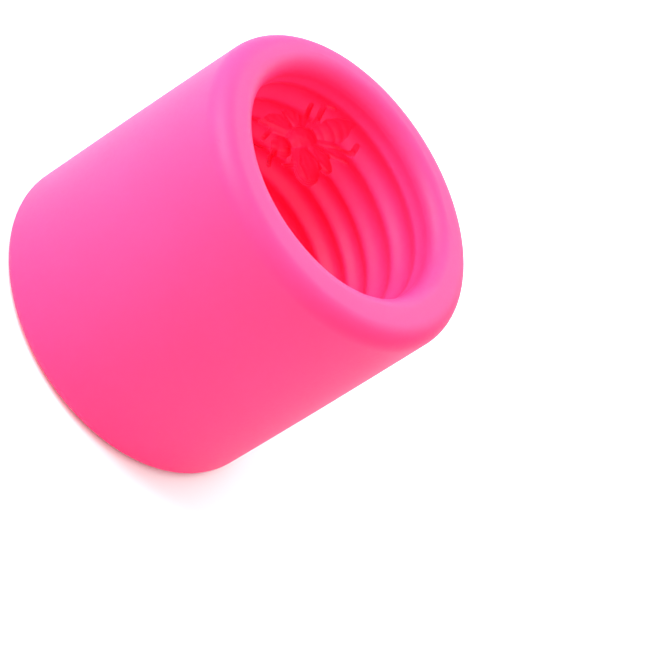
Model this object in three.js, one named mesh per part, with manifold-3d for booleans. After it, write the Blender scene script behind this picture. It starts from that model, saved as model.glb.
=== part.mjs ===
// Candle mold: one thick-walled block of soft silicone, cast around a skep-hive master.
// The block stands on its closed end with the mouth up. Wax is poured in at the mouth,
// so the candle grows upside down: its dome is at the cavity floor, its base at the mouth.
// Units are millimetres, +Z is up, and the origin is the centre of the flat underside.

import * as THREE from "three";
import { mergeVertices } from "three/addons/utils/BufferGeometryUtils.js";
import Module from "manifold-3d";

// Outside of the block
const height = 84.8;
const mouthEndRadius = 46; // outer radius at the mouth end
const closedEndRadius = 46.9; // outer radius at the closed end
const sideBulge = 0.2; // how far the side swells half way up
const undersideEdge = 4; // radius of the rounded edge round the underside
const lipOuterEdge = 5.6; // radius of the broad outer edge of the lip

// Cavity, as depths below the mouth plane
const cavityShift = [-1.1, 1.4]; // the master stood a little off centre, along X and Y
const mouthRadius = 33.2;
const lipInnerEdge = 4.6; // radius of the inner edge of the lip
const firstRidgeDepth = 8.7; // ridge between the candle's foot band and its lowest coil
const ridgeRadius = 33; // radius at the ridges of the straight wall
const wallCoils = 2;
const wallPitch = 9.1;
const domeCoils = 6;
const domePitch = 7.63;
const domeHeight = 49.5; // half axis of the ellipse that the dome's ridges lie on
const footSwell = 0.2; // the foot band above the first ridge is nearly straight
const wallCoilSwell = 1.6; // how far a coil stands out from the line between its ridges
const topCoilSwell = 2.3;
const crownHeight = 1.5; // flat button on the very top of the skep
const crownEdge = 0.9;

// Bees in relief on the skep, each a recess in the cavity wall
const beeAzimuths = [-31, -164]; // degrees from +Y towards +X
const beeLean = 16; // degrees, the second bee leans the other way
const beeDepth = 26.5; // depth of the bee's waist below the mouth plane
const beeWallRadius = 33.4;

// Fineness of the facets
const turnSteps = 52;
const coilSteps = 4;
const edgeSteps = 4;

const wasm = await Module();
wasm.setup();

// Closed three.js geometry to manifold solid.
function toSolid(geometry) {
  const bare = geometry.clone();
  bare.deleteAttribute("normal");
  bare.deleteAttribute("uv");
  const merged = mergeVertices(bare, 1e-4);
  return new wasm.Manifold(new wasm.Mesh({
    numProp: 3,
    vertProperties: new Float32Array(merged.attributes.position.array),
    triVerts: new Uint32Array(merged.index.array),
  }));
}

// Manifold solid back to a flat-shaded three.js geometry.
function toGeometry(solid) {
  const mesh = solid.getMesh();
  const geometry = new THREE.BufferGeometry();
  geometry.setAttribute("position", new THREE.BufferAttribute(mesh.vertProperties, 3));
  geometry.setIndex(new THREE.BufferAttribute(mesh.triVerts, 1));
  const faceted = geometry.toNonIndexed();
  faceted.computeVertexNormals();
  return faceted;
}

// Points of a circular arc about a centre, both ends included. Angles are in degrees.
function arc(centreRadius, centreZ, radius, fromAngle, toAngle, steps = edgeSteps) {
  const points = [];
  for (let i = 0; i <= steps; i++) {
    const angle = THREE.MathUtils.degToRad(THREE.MathUtils.lerp(fromAngle, toAngle, i / steps));
    points.push(new THREE.Vector2(
      centreRadius + radius * Math.cos(angle),
      centreZ + radius * Math.sin(angle),
    ));
  }
  return points;
}

// Points between two ridges on the arc that swells outwards by swell, ends left out.
function coilArc(from, to, swell) {
  const chord = to.clone().sub(from);
  const outward = new THREE.Vector2(chord.y, -chord.x).normalize();
  if (outward.x < 0) outward.negate();
  const radius = (chord.lengthSq() / 4 + swell * swell) / (2 * swell);
  const centre = from.clone().add(to).multiplyScalar(0.5).addScaledVector(outward, swell - radius);
  const start = from.clone().sub(centre);
  let turn = to.clone().sub(centre).angle() - start.angle();
  if (turn > Math.PI) turn -= 2 * Math.PI;
  if (turn < -Math.PI) turn += 2 * Math.PI;
  const points = [];
  for (let i = 1; i < coilSteps; i++) {
    points.push(start.clone().rotateAround(new THREE.Vector2(), turn * i / coilSteps).add(centre));
  }
  return points;
}

// Solid of revolution about Z from a profile of (radius, z) points running up from the axis.
function turned(points) {
  const geometry = new THREE.LatheGeometry(points, turnSteps);
  geometry.rotateX(Math.PI / 2); // the lathe turns about Y
  return toSolid(geometry);
}

// The solid block before the cavity is taken out.
function block() {
  const sideStart = undersideEdge;
  const sideEnd = height - lipOuterEdge;
  const side = [];
  for (const along of [0.25, 0.5, 0.75]) {
    const straight = THREE.MathUtils.lerp(closedEndRadius, mouthEndRadius, along);
    const bulge = sideBulge * 4 * along * (1 - along);
    side.push(new THREE.Vector2(straight + bulge, THREE.MathUtils.lerp(sideStart, sideEnd, along)));
  }
  return turned([
    new THREE.Vector2(0, 0),
    ...arc(closedEndRadius - undersideEdge, undersideEdge, undersideEdge, -90, 0),
    ...side,
    ...arc(mouthEndRadius - lipOuterEdge, sideEnd, lipOuterEdge, 0, 90),
    new THREE.Vector2(0, height),
  ]);
}

// The ridges of the cavity wall from the mouth down, as (radius, z) points.
function ridges() {
  const points = [];
  for (let i = 0; i <= wallCoils; i++) {
    points.push(new THREE.Vector2(ridgeRadius, height - firstRidgeDepth - i * wallPitch));
  }
  const domeStart = points[points.length - 1].y;
  for (let i = 1; i <= domeCoils; i++) {
    const rise = i * domePitch / domeHeight;
    points.push(new THREE.Vector2(ridgeRadius * Math.sqrt(1 - rise * rise), domeStart - i * domePitch));
  }
  return points;
}

// The skep that the silicone was cast around, with the flared mouth above its foot.
function skep() {
  const mouthEdge = height - lipInnerEdge;
  const ridge = ridges();
  const profile = [
    new THREE.Vector2(0, height + 2),
    new THREE.Vector2(mouthRadius + lipInnerEdge, height + 2),
    ...arc(mouthRadius + lipInnerEdge, mouthEdge, lipInnerEdge, 90, 180),
    ...coilArc(new THREE.Vector2(mouthRadius, mouthEdge), ridge[0], footSwell),
  ];
  for (let i = 0; i + 1 < ridge.length; i++) {
    const domeShare = Math.max(0, i + 1 - wallCoils) / domeCoils;
    const swell = THREE.MathUtils.lerp(wallCoilSwell, topCoilSwell, domeShare);
    profile.push(ridge[i], ...coilArc(ridge[i], ridge[i + 1], swell));
  }
  const crown = ridge[ridge.length - 1];
  const floor = crown.y - crownHeight;
  profile.push(crown, ...arc(crown.x - crownEdge, floor + crownEdge, crownEdge, 0, -90, 3));
  profile.push(new THREE.Vector2(0, floor));
  return turned(profile.reverse());
}

// Ellipsoid set into the cavity wall. Across and along are measured on the wall from the bee's
// waist (along runs to its head, down the cavity). Turn and lean are degrees about the wall's
// normal, turn for the lump by itself and lean for the whole bee.
function wallLump(azimuth, lean, across, along, size, turn = 0) {
  const leanAngle = THREE.MathUtils.degToRad(lean);
  const spot = new THREE.Vector2(across, along).rotateAround(new THREE.Vector2(), leanAngle);
  const geometry = new THREE.SphereGeometry(1, 10, 6);
  geometry.scale(size[0], size[1], size[2]);
  geometry.rotateZ(THREE.MathUtils.degToRad(turn) + leanAngle);
  const around = THREE.MathUtils.degToRad(azimuth) + spot.x / beeWallRadius;
  const outward = new THREE.Vector3(Math.sin(around), Math.cos(around), 0);
  const alongAxis = new THREE.Vector3(0, 0, -1);
  const acrossAxis = new THREE.Vector3().crossVectors(alongAxis, outward);
  const place = new THREE.Matrix4().makeBasis(acrossAxis, alongAxis, outward);
  place.setPosition(outward.multiplyScalar(beeWallRadius).setZ(height - beeDepth - spot.y));
  return toSolid(geometry.applyMatrix4(place));
}

// One bee, seen from its back with its wings spread and its head towards the cavity floor.
function bee(azimuth, lean) {
  const lump = (...shape) => wallLump(azimuth, lean, ...shape);
  const lumps = [
    lump(0, -9.6, [3.9, 7.6, 3.1]), // abdomen
    lump(0, 0, [4.2, 4.1, 3.5]), // thorax
    lump(0, 6.8, [3.3, 3.2, 2.7]), // head
  ];
  for (const side of [-1, 1]) {
    lumps.push(
      lump(side * 8.1, 3.1, [6.6, 3, 2.9], side * 12), // fore wing
      lump(side * 7.5, -1.7, [5.4, 2.1, 2.6], side * -13), // hind wing
      lump(side * 2.6, 10.6, [0.8, 2.3, 1.8], side * -38), // feeler
      lump(side * 7.2, -5.8, [4.4, 0.9, 2.2], side * -44), // middle leg
      lump(side * 5.8, -8.6, [5.2, 0.9, 2.2], side * -58), // hind leg
    );
  }
  return lumps.reduce((joined, lump) => joined.add(lump));
}

function moldBody() {
  let master = skep();
  beeAzimuths.forEach((azimuth, i) => {
    master = master.add(bee(azimuth, i === 0 ? beeLean : -beeLean));
  });
  const cast = block().subtract(master.translate([...cavityShift, 0]));
  // slivers caught between a bee's lumps and the coils come away with the master
  const bodies = cast.decompose().sort((a, b) => b.volume() - a.volume());
  return toGeometry(bodies[0]);
}

const silicone = new THREE.MeshStandardMaterial({ color: 0xff5fa8, roughness: 0.5, metalness: 0 });

const candleMold = new THREE.Group();
const body = new THREE.Mesh(moldBody(), silicone);
body.name = "mold_body";
candleMold.add(body);

export default candleMold;
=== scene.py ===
import math

import bmesh
import bpy
from mathutils import Matrix, Vector


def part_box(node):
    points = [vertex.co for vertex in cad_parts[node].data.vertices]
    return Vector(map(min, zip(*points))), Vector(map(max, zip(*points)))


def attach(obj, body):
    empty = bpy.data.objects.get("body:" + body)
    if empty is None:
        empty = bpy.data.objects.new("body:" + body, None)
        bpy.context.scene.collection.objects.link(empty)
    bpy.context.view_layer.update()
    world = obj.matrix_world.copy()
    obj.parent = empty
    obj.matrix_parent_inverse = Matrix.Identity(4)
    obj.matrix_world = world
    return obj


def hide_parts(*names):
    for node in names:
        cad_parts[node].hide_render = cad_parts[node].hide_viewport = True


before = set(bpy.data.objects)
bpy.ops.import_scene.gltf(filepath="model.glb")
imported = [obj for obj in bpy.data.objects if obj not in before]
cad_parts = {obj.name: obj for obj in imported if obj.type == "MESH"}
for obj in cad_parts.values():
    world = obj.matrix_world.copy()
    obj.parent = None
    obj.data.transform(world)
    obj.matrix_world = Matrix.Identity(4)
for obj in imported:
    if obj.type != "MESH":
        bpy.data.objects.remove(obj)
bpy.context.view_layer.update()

mm = 0.001
near = 0.01 * mm  # two heights this close are the same ring
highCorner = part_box("mold_body")[1]
moldHeight = highCorner.z
widest = highCorner.x  # radius at the closed end

print("frame loaded, mold is", round(moldHeight / mm, 1), "mm tall")


# helpers

def deselectAll():
    bpy.ops.object.select_all(action="DESELECT")


def pick(piece):
    deselectAll()
    piece.select_set(True)
    bpy.context.view_layer.objects.active = piece


def added(name):
    # the primitive that was just added, under its own name
    piece = bpy.context.active_object
    piece.name = name
    piece.data.name = name
    return piece


def editMode(selectMode="VERT"):
    bpy.ops.object.mode_set(mode="EDIT")
    bpy.ops.mesh.select_mode(type=selectMode)
    bpy.ops.mesh.select_all(action="DESELECT")


def objectMode():
    bpy.ops.object.mode_set(mode="OBJECT")


def selectEdges(piece, wanted):
    bm = bmesh.from_edit_mesh(piece.data)
    for edge in bm.edges:
        edge.select_set(wanted(edge))
    bm.select_flush_mode()
    bmesh.update_edit_mesh(piece.data)


def selectVerts(piece, wanted):
    bm = bmesh.from_edit_mesh(piece.data)
    for vert in bm.verts:
        vert.select_set(wanted(vert.co))
    bm.select_flush_mode()
    bmesh.update_edit_mesh(piece.data)


def finishWith(piece, kind, **values):
    pick(piece)
    modifier = piece.modifiers.new(kind.title(), kind)
    for key, value in values.items():
        setattr(modifier, key, value)
    bpy.ops.object.modifier_apply(modifier=modifier.name)


def cut(piece, tool):
    finishWith(piece, "BOOLEAN", operation="DIFFERENCE", solver="EXACT", object=tool)
    bpy.data.objects.remove(tool)


def joined(pieces, name):
    pick(pieces[0])
    for piece in pieces[1:]:
        piece.select_set(True)
    bpy.ops.object.join()
    return added(name)


def applyPlace(piece):
    pick(piece)
    bpy.ops.object.transform_apply(location=True, rotation=True, scale=True)


# outer block

block = {
    "sides": 256,
    "mouthTaper": 0.9 * mm,  # the mouth end is this much narrower than the closed end
    "swell": 0.2 * mm,
    "swellRings": 9,
    "lipEdge": 5.6 * mm,
    "lipSteps": 16,
    "undersideEdge": 4 * mm,
    "undersideSteps": 12,
}


def makeBlock():
    deselectAll()
    bpy.ops.mesh.primitive_cylinder_add(
        vertices=block["sides"], radius=widest, depth=moldHeight, location=(0, 0, moldHeight / 2))
    piece = added("block")
    applyPlace(piece)
    editMode()
    # rings up the side, then each ring is set to its own width
    shares = [i / (block["swellRings"] + 1) for i in range(block["swellRings"] + 2)]
    for share in shares[1:-1]:
        bpy.ops.mesh.select_all(action="SELECT")
        bpy.ops.mesh.bisect(plane_co=(0, 0, share * moldHeight), plane_no=(0, 0, 1))
    for share in shares:
        ringHeight = share * moldHeight
        ringRadius = widest - share * block["mouthTaper"] + block["swell"] * 4 * share * (1 - share)
        size = ringRadius / widest
        selectVerts(piece, lambda co: abs(co.z - ringHeight) < near)
        bpy.ops.transform.resize(value=(size, size, 1))
    bpy.ops.mesh.select_mode(type="EDGE")
    selectEdges(piece, lambda edge: min(v.co.z for v in edge.verts) > moldHeight - near)
    bpy.ops.mesh.bevel(offset=block["lipEdge"], segments=block["lipSteps"], affect="EDGES")
    selectEdges(piece, lambda edge: max(v.co.z for v in edge.verts) < near)
    bpy.ops.mesh.bevel(offset=block["undersideEdge"], segments=block["undersideSteps"], affect="EDGES")
    objectMode()
    return piece


# skep that the silicone was cast around

skep = {
    "sides": 288,
    "shift": (-1.1 * mm, 1.4 * mm),  # it stood a little off centre
    "mouthRadius": 33.2 * mm,
    "lipInnerEdge": 4.6 * mm,
    "lipSteps": 10,
    "firstRidge": 8.7 * mm,  # depth below the mouth
    "ridgeRadius": 33 * mm,
    "wallCoils": 2,
    "wallPitch": 9.1 * mm,
    "domeCoils": 6,
    "domePitch": 7.63 * mm,
    "domeHeight": 49.5 * mm,
    "footSwell": 0.2 * mm,  # the band above the first ridge is nearly straight
    "wallSwell": 1.5 * mm,
    "topSwell": 2.4 * mm,
    "coilSteps": 16,
    "ridgeRound": 0.4,  # 0 leaves the ridges between coils sharp
    "crownHeight": 1.5 * mm,  # flat button on the top of the dome
    "crownEdge": 0.9 * mm,
    "crownSteps": 4,
    "crownRings": 3,
    "pourHeight": 2 * mm,  # how far it stood out of the silicone
    "handMade": 0.22 * mm,  # how uneven the hand-laid coils are
    "unevenSize": 14 * mm,
}


def coilBetween(start, end, swell):
    # points from one ridge to the next, start left out, with the ridges rounded over
    chord = end - start
    outward = Vector((-chord.y, chord.x)).normalized()
    soft = skep["ridgeRound"]
    full = math.sqrt(1 + soft * soft) - soft
    points = []
    for i in range(1, skep["coilSteps"] + 1):
        share = i / skep["coilSteps"]
        bulge = (math.sqrt(math.sin(math.pi * share) ** 2 + soft * soft) - soft) / full
        points.append(start + chord * share + outward * swell * bulge)
    return points


def skepRidges():
    ridges = []
    for i in range(skep["wallCoils"] + 1):
        depth = skep["firstRidge"] + i * skep["wallPitch"]
        ridges.append(Vector((skep["ridgeRadius"], moldHeight - depth)))
    domeStart = ridges[-1].y
    for i in range(1, skep["domeCoils"] + 1):
        rise = i * skep["domePitch"] / skep["domeHeight"]
        radius = skep["ridgeRadius"] * math.sqrt(1 - rise * rise)
        ridges.append(Vector((radius, domeStart - i * skep["domePitch"])))
    return ridges


def skepOutline():
    # (radius, height) from above the mouth down to the crown
    edge = skep["lipInnerEdge"]
    flare = skep["mouthRadius"] + edge
    outline = [Vector((flare, moldHeight + skep["pourHeight"])), Vector((flare, moldHeight))]
    for i in range(1, skep["lipSteps"] + 1):
        angle = math.pi / 2 * i / skep["lipSteps"]
        drop = edge * (1 - math.cos(angle))
        outline.append(Vector((flare - edge * math.sin(angle), moldHeight - drop)))
    ridges = skepRidges()
    outline += coilBetween(outline[-1], ridges[0], skep["footSwell"])
    for i in range(len(ridges) - 1):
        domeShare = max(0, i + 1 - skep["wallCoils"]) / skep["domeCoils"]
        swell = skep["wallSwell"] + domeShare * (skep["topSwell"] - skep["wallSwell"])
        outline += coilBetween(ridges[i], ridges[i + 1], swell)
    crown = ridges[-1]
    edge = skep["crownEdge"]
    floor = crown.y - skep["crownHeight"]
    for i in range(skep["crownSteps"] + 1):
        angle = math.pi / 2 * i / skep["crownSteps"]
        inwards = edge * (1 - math.cos(angle))
        outline.append(Vector((crown.x - inwards, floor + edge * (1 - math.sin(angle)))))
    return outline


def makeSkep():
    outline = skepOutline()
    deselectAll()
    bpy.ops.mesh.primitive_circle_add(
        vertices=skep["sides"], radius=outline[0].x, fill_type="NGON", location=(0, 0, outline[0].y))
    piece = added("skep")
    applyPlace(piece)
    editMode("FACE")
    bpy.ops.mesh.select_all(action="SELECT")
    # the disc is drawn down from the foot to the crown, extruded and resized step by step
    for before, after in zip(outline, outline[1:]):
        bpy.ops.mesh.extrude_region_move(
            TRANSFORM_OT_translate={"value": (0, 0, after.y - before.y)})
        size = after.x / before.x
        bpy.ops.transform.resize(value=(size, size, 1))
    for i in range(skep["crownRings"]):
        bpy.ops.mesh.inset(thickness=outline[-1].x / (skep["crownRings"] + 1))
    bpy.ops.mesh.select_all(action="SELECT")
    bpy.ops.mesh.normals_make_consistent(inside=False)
    objectMode()
    unevenness = bpy.data.textures.new("handLaid", "CLOUDS")
    unevenness.noise_scale = skep["unevenSize"]
    unevenness.noise_depth = 1
    finishWith(piece, "DISPLACE", texture=unevenness, texture_coords="LOCAL",
               strength=skep["handMade"], mid_level=0.5)
    piece.location.xy = skep["shift"]
    applyPlace(piece)
    return piece


# bee in relief on the skep: x runs across it, y out of the skep, z from its head to its tail,
# with its waist at the origin. Its own shape is given in plain millimetres.

bee = {
    "places": ((-31, 1), (-164, -1)),  # degrees from +Y towards +X, and the side it leans to
    "depth": 26.5 * mm,  # of its waist below the mouth
    "lean": 16,
    "wallRadius": 33.4 * mm,
    "thorax": ((0, 0.2, 0), (4.3, 3.5, 4.2)),  # centre and half sizes
    "head": ((0, 0.2, -6.4), (3.3, 2.7, 2.6)),
    "face": ((0, 0.8, -8.3), (1.9, 1.9, 1.6)),
    "eye": ((2.4, 1.3, -6.7), (1.2, 1.5, 1.7)),
    "eyeTurn": 18,
    # points along each limb of the right side, and how thick it is
    "limbs": (
        (((0.9, 1.3, -8.4), (1.9, 1.3, -11), (4.1, 0.8, -12.6)), 0.75),  # feeler
        (((3, 0.5, -3.4), (6.2, 0.9, -6), (5.6, 0.7, -8.6)), 0.9),  # front leg
        (((3.4, 0.5, 2), (8, 1, 6), (10.4, 0.7, 9)), 0.9),  # middle leg
        (((2.8, 0.5, 3.6), (6, 1, 9), (8.2, 0.8, 12), (6.6, 0.7, 14)), 0.95),  # hind leg
    ),
    # root, tip, width, thickness and where the veins spread
    "wings": (
        ((2.2, 1.4, -1.8), (14, 2.6, -4.4), 6.4, 0.9, (-1, -0.3, 0.4, 1)),
        ((2.6, 1.2, 0.6), (12.4, 2.2, 2.8), 4.6, 0.8, (-0.9, 0, 0.9)),
    ),
    "wingTaper": 0.9,
    "veinThick": 0.24,
    "fur": 0.8 * mm,
    "furSize": 1 * mm,
    "abdomenLength": 14.5,
    "abdomenRadius": 4.3,
    "abdomenFlat": 0.8,  # its height over its width
    "abdomenPlace": (0, -0.2, 2.8),
    "abdomenSteps": 40,
    "bands": 5,
    "bandDepth": 0.12,
    "skirt": (1.1, 2.2, 3.3, 4.4),  # copies set further in, so that no part stands clear of the skep
    "grain": 0.28 * mm,
    "soften": 4,  # rounds of smoothing
}


def lump(centre, size, turn=0.0):
    deselectAll()
    bpy.ops.mesh.primitive_uv_sphere_add(
        segments=32, ring_count=20, radius=1, location=Vector(centre) * mm,
        rotation=(0, math.radians(turn), 0), scale=Vector(size) * mm)
    piece = added("lump")
    applyPlace(piece)
    return piece


def limb(points, thick):
    # thin round limb through a few points, with a knuckle at each
    pieces = []
    for point in points:
        pieces.append(lump(point, (thick, thick, thick)))
    for start, end in zip(points, points[1:]):
        start, end = Vector(start) * mm, Vector(end) * mm
        along = end - start
        deselectAll()
        bpy.ops.mesh.primitive_cylinder_add(
            vertices=12, radius=thick * mm, depth=along.length, location=(start + end) / 2,
            rotation=along.to_track_quat("Z", "Y").to_euler())
        pieces.append(added("bone"))
        applyPlace(pieces[-1])
    return pieces


def makeAbdomen():
    # drawn out band by band from the waist to the tip
    length, steps = bee["abdomenLength"], bee["abdomenSteps"]

    def radiusAt(share):
        # blunt at the waist, fullest before the middle, nearly pointed at the tip
        body = math.sin(math.pi * (0.13 + 0.84 * share)) ** 0.8
        rise = abs(math.sin(math.pi * bee["bands"] * share)) ** 0.7
        band = 1 - bee["bandDepth"] * (1 - rise)
        return bee["abdomenRadius"] * body * band * mm

    deselectAll()
    bpy.ops.mesh.primitive_circle_add(vertices=40, radius=radiusAt(0), fill_type="NGON")
    piece = added("abdomen")
    editMode("FACE")
    bpy.ops.mesh.select_all(action="SELECT")
    for i in range(steps):
        bpy.ops.mesh.extrude_region_move(TRANSFORM_OT_translate={"value": (0, 0, length / steps * mm)})
        size = radiusAt((i + 1) / steps) / radiusAt(i / steps)
        bpy.ops.transform.resize(value=(size, size, 1))
    bpy.ops.mesh.select_all(action="SELECT")
    bpy.ops.mesh.normals_make_consistent(inside=False)
    objectMode()
    piece.scale.y = bee["abdomenFlat"]
    piece.location = Vector(bee["abdomenPlace"]) * mm
    applyPlace(piece)
    return piece


def onSide(point, side):
    return Vector((side * point[0], point[1], point[2]))


def makeWing(root, tip, width, thick, veins):
    along = tip - root
    blade = lump((0, 0, 0), (along.length / 2, thick, width / 2))
    finishWith(blade, "SIMPLE_DEFORM", deform_method="TAPER", deform_axis="X",
               factor=bee["wingTaper"])
    blade.location = (root + tip) / 2 * mm
    blade.rotation_euler = along.to_track_quat("X", "Z").to_euler()
    applyPlace(blade)
    side = Vector((0, 1, 0)).cross(along).normalized()
    lift = Vector((0, thick, 0))
    pieces = [blade]
    for spread in veins:
        # from the root, out over the widest part and in again to the tip
        middle = root + along * 0.55 + side * spread * width * 0.42 + lift
        end = root + along * 0.93 + side * spread * width * 0.3 + lift * 0.6
        pieces += limb((root + lift * 0.3, middle, end), bee["veinThick"])
    return pieces


def makeBee():
    thorax = lump(*bee["thorax"])
    finishWith(thorax, "SUBSURF", levels=1, render_levels=1)
    fur = bpy.data.textures.new("fur", "CLOUDS")
    fur.noise_scale = bee["furSize"]
    finishWith(thorax, "DISPLACE", texture=fur, texture_coords="LOCAL", strength=bee["fur"],
               mid_level=0.5)
    pieces = [makeAbdomen(), thorax, lump(*bee["head"]), lump(*bee["face"])]
    eyeCentre, eyeSize = bee["eye"]
    for side in (-1, 1):
        pieces.append(lump(onSide(eyeCentre, side), eyeSize, side * bee["eyeTurn"]))
        for points, thick in bee["limbs"]:
            pieces += limb([onSide(point, side) for point in points], thick)
        for root, tip, width, thick, veins in bee["wings"]:
            pieces += makeWing(onSide(root, side), onSide(tip, side), width, thick, veins)
    piece = joined(pieces, "bee")
    layers = [piece]
    for drop in bee["skirt"]:
        pick(piece)
        bpy.ops.object.duplicate()
        layers.append(added("layer"))
        layers[-1].location.y = -drop * mm
        applyPlace(layers[-1])
    piece = joined(layers, "bee")
    finishWith(piece, "REMESH", mode="VOXEL", voxel_size=bee["grain"])
    finishWith(piece, "SMOOTH", factor=0.5, iterations=bee["soften"])
    return piece


def placedBee(model, azimuth, side):
    # leant over, wrapped on the skep and turned to its place
    pick(model)
    bpy.ops.object.duplicate()
    piece = added("bee_" + str(abs(azimuth)))
    piece.rotation_euler.y = math.radians(bee["lean"])
    applyPlace(piece)
    if side < 0:
        piece.scale.x = -1
        applyPlace(piece)
        editMode()
        bpy.ops.mesh.select_all(action="SELECT")
        bpy.ops.mesh.normals_make_consistent(inside=False)
        objectMode()
    finishWith(piece, "SIMPLE_DEFORM", deform_method="BEND", deform_axis="Z",
               angle=-piece.dimensions.x / bee["wallRadius"])
    piece.location = (0, bee["wallRadius"], moldHeight - bee["depth"])
    applyPlace(piece)
    piece.location.xy = skep["shift"]
    piece.rotation_euler.z = -math.radians(azimuth)
    applyPlace(piece)
    return piece


# the block, with the skep and its bees taken out of it

mold = makeBlock()
print("block made", len(mold.data.polygons))
cut(mold, makeSkep())
print("cavity cut", len(mold.data.polygons))
beeModel = makeBee()
print("bee made", len(beeModel.data.polygons))
for azimuth, side in bee["places"]:
    cut(mold, placedBee(beeModel, azimuth, side))
bpy.data.objects.remove(beeModel)
print("bees cut", len(mold.data.polygons))
mold.name = "mold"
mold.data.name = "mold"
pick(mold)
bpy.ops.object.shade_smooth_by_angle(angle=math.radians(40))


# silicone

silicone = {
    "pale": (1.0, 0.03, 0.178, 1),  # the pigment varies a little between these two
    "deep": (0.98, 0.024, 0.16, 1),
    "tintScale": 28,
    "glow": 0.4,  # how much light goes in and comes out near by
    "glowColour": (1.0, 0.25, 0.45),
    "glowDepth": 6 * mm,
    "ior": 1.41,
    "specular": 0.42,
    "roughness": (0.5, 0.6),
    "grainScale": 900,  # fine satin skin
    "grainStrength": 0.2,
    "grainDepth": 0.05 * mm,
    "bubbleGap": 5 * mm,
    "bubbleRadius": 0.28 * mm,
    "bubbleShare": 0.12,  # only this part of them lies at the surface
    "bubbleStrength": 0.5,
    "bubbleDepth": 0.2 * mm,
}


def addNode(tree, kind, **values):
    # underscores in a value's name stand for the spaces in the socket's name
    node = tree.nodes.new(kind)
    for name, value in values.items():
        node.inputs[name.replace("_", " ")].default_value = value
    return node


def makeSilicone():
    material = bpy.data.materials.new("pink_silicone")
    material.use_nodes = True
    tree = material.node_tree
    links = tree.links
    shader = tree.nodes["Principled BSDF"]
    shader.inputs["Subsurface Weight"].default_value = silicone["glow"]
    shader.inputs["Subsurface Radius"].default_value = silicone["glowColour"]
    shader.inputs["Subsurface Scale"].default_value = silicone["glowDepth"]
    shader.inputs["IOR"].default_value = silicone["ior"]
    shader.inputs["Specular IOR Level"].default_value = silicone["specular"]
    place = addNode(tree, "ShaderNodeTexCoord").outputs["Object"]
    clouds = addNode(tree, "ShaderNodeTexNoise", Scale=silicone["tintScale"], Detail=4)
    links.new(place, clouds.inputs["Vector"])
    tint = tree.nodes.new("ShaderNodeMix")
    tint.data_type = "RGBA"
    tint.inputs[6].default_value = silicone["pale"]
    tint.inputs[7].default_value = silicone["deep"]
    links.new(clouds.outputs["Fac"], tint.inputs["Factor"])
    links.new(tint.outputs[2], shader.inputs["Base Color"])
    grain = addNode(tree, "ShaderNodeTexNoise", Scale=silicone["grainScale"], Detail=3)
    links.new(place, grain.inputs["Vector"])
    polish = addNode(tree, "ShaderNodeMapRange",
                     To_Min=silicone["roughness"][0], To_Max=silicone["roughness"][1])
    links.new(grain.outputs["Fac"], polish.inputs["Value"])
    links.new(polish.outputs["Result"], shader.inputs["Roughness"])
    # tiny air bubbles, open at the surface
    bubbles = addNode(tree, "ShaderNodeTexVoronoi", Scale=1 / silicone["bubbleGap"])
    links.new(place, bubbles.inputs["Vector"])
    bubbleSize = silicone["bubbleRadius"] / silicone["bubbleGap"]
    pit = addNode(tree, "ShaderNodeMapRange", From_Min=0.4 * bubbleSize, From_Max=bubbleSize)
    pit.interpolation_type = "SMOOTHSTEP"
    links.new(bubbles.outputs["Distance"], pit.inputs["Value"])
    draw = tree.nodes.new("ShaderNodeSeparateColor")
    links.new(bubbles.outputs["Color"], draw.inputs["Color"])
    closed = tree.nodes.new("ShaderNodeMath")
    closed.operation = "LESS_THAN"
    closed.inputs[1].default_value = 1 - silicone["bubbleShare"]
    links.new(draw.outputs["Red"], closed.inputs[0])
    skin = tree.nodes.new("ShaderNodeMath")
    skin.operation = "MAXIMUM"
    links.new(pit.outputs["Result"], skin.inputs[0])
    links.new(closed.outputs["Value"], skin.inputs[1])
    pitted = addNode(tree, "ShaderNodeBump",
                     Strength=silicone["bubbleStrength"], Distance=silicone["bubbleDepth"])
    links.new(skin.outputs["Value"], pitted.inputs["Height"])
    bump = addNode(tree, "ShaderNodeBump",
                   Strength=silicone["grainStrength"], Distance=silicone["grainDepth"])
    links.new(grain.outputs["Fac"], bump.inputs["Height"])
    links.new(pitted.outputs["Normal"], bump.inputs["Normal"])
    links.new(bump.outputs["Normal"], shader.inputs["Normal"])
    return material


mold.data.materials.clear()
mold.data.materials.append(makeSilicone())
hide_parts("mold_body")
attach(mold, "root")


# floor, lights, camera

studio = {
    "floorSize": 8,
    "floorColour": (0.86, 0.86, 0.86, 1),
    "floorRoughness": 0.9,
    "skyTowards": (-0.75, -0.15, 0.65),  # the brightest part of the room
    "skyBrightest": 1.8,
    "skyDarkest": 0.4,
    "lights": {
        # where from, how far, how wide, watts
        "key_light": ((-0.76, -0.3, 0.58), 0.6, 0.36, 4.4),
        "back_light": ((0.05, 0.8, 0.6), 0.7, 0.7, 3),
    },
}


def makeFloor():
    deselectAll()
    bpy.ops.mesh.primitive_circle_add(vertices=96, radius=studio["floorSize"], fill_type="NGON")
    floor = added("floor")
    material = bpy.data.materials.new("floor_paper")
    material.use_nodes = True
    shader = material.node_tree.nodes["Principled BSDF"]
    shader.inputs["Base Color"].default_value = studio["floorColour"]
    shader.inputs["Roughness"].default_value = studio["floorRoughness"]
    floor.data.materials.append(material)


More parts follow.
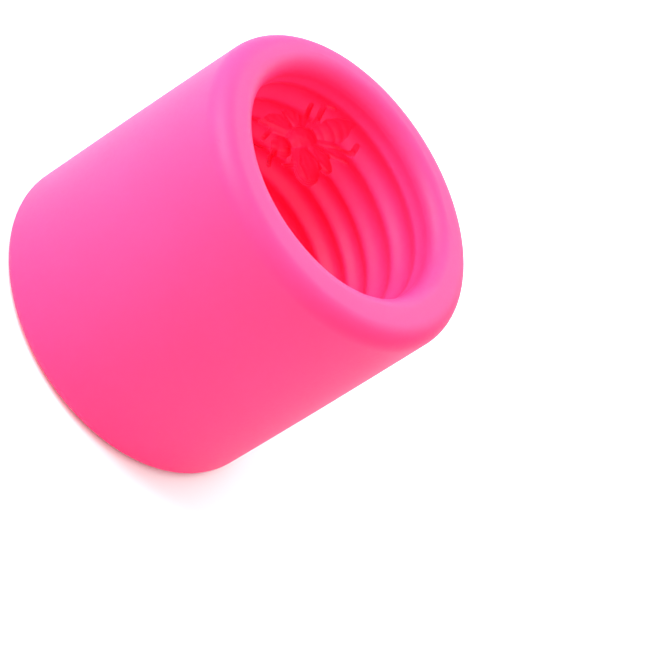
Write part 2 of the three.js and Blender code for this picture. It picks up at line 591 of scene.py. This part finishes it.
def makeLights():
    world = bpy.data.worlds.new("studio")
    bpy.context.scene.world = world
    world.use_nodes = True
    tree = world.node_tree
    background = tree.nodes["Background"]
    background.inputs["Color"].default_value = (1, 1, 1, 1)
    # soft dome, brighter on one side
    place = tree.nodes.new("ShaderNodeTexCoord")
    facing = tree.nodes.new("ShaderNodeVectorMath")
    facing.operation = "DOT_PRODUCT"
    facing.inputs[1].default_value = Vector(studio["skyTowards"]).normalized()
    tree.links.new(place.outputs["Generated"], facing.inputs[0])
    glow = addNode(tree, "ShaderNodeMapRange",
                   From_Min=-1, To_Min=studio["skyDarkest"], To_Max=studio["skyBrightest"])
    tree.links.new(facing.outputs["Value"], glow.inputs["Value"])
    tree.links.new(glow.outputs["Result"], background.inputs["Strength"])
    centre = Vector((0, 0, moldHeight / 2))
    for name, (source, distance, size, power) in studio["lights"].items():
        towards = Vector(source).normalized()
        bpy.ops.object.light_add(type="AREA", location=centre + towards * distance)
        lamp = bpy.context.active_object
        lamp.name = name
        lamp.data.shape = "DISK"
        lamp.data.size = size
        lamp.data.energy = power
        lamp.rotation_euler = towards.to_track_quat("Z", "Y").to_euler()


view = {
    "distance": 828 * mm,
    "elevation": 35,
    "roll": 58.8,
    "lens": 169.2,
    "aside": -23.9 * mm,  # where the middle of the mold lies from the middle of the view
    "up": 19.82 * mm,
}


def makeCamera():
    tilt = math.radians(view["elevation"])
    roll = math.radians(view["roll"])
    back = Vector((0, -math.cos(tilt), math.sin(tilt)))
    levelRight = Vector((1, 0, 0))
    levelUp = back.cross(levelRight)
    right = levelRight * math.cos(roll) + levelUp * math.sin(roll)
    up = levelUp * math.cos(roll) - levelRight * math.sin(roll)
    bpy.ops.object.camera_add()
    camera = bpy.context.active_object
    camera.name = "camera"
    middle = Vector((0, 0, moldHeight / 2))
    place = middle + back * view["distance"] - right * view["aside"] - up * view["up"]
    turn = Matrix((right, up, back)).transposed().to_4x4()
    camera.matrix_world = Matrix.Translation(place) @ turn
    camera.data.lens = view["lens"]
    camera.data.sensor_width = 36
    camera.data.clip_start = 0.01
    camera.data.clip_end = 100
    bpy.context.scene.camera = camera


makeFloor()
makeLights()
makeCamera()
bpy.context.scene.view_settings.view_transform = "Standard"
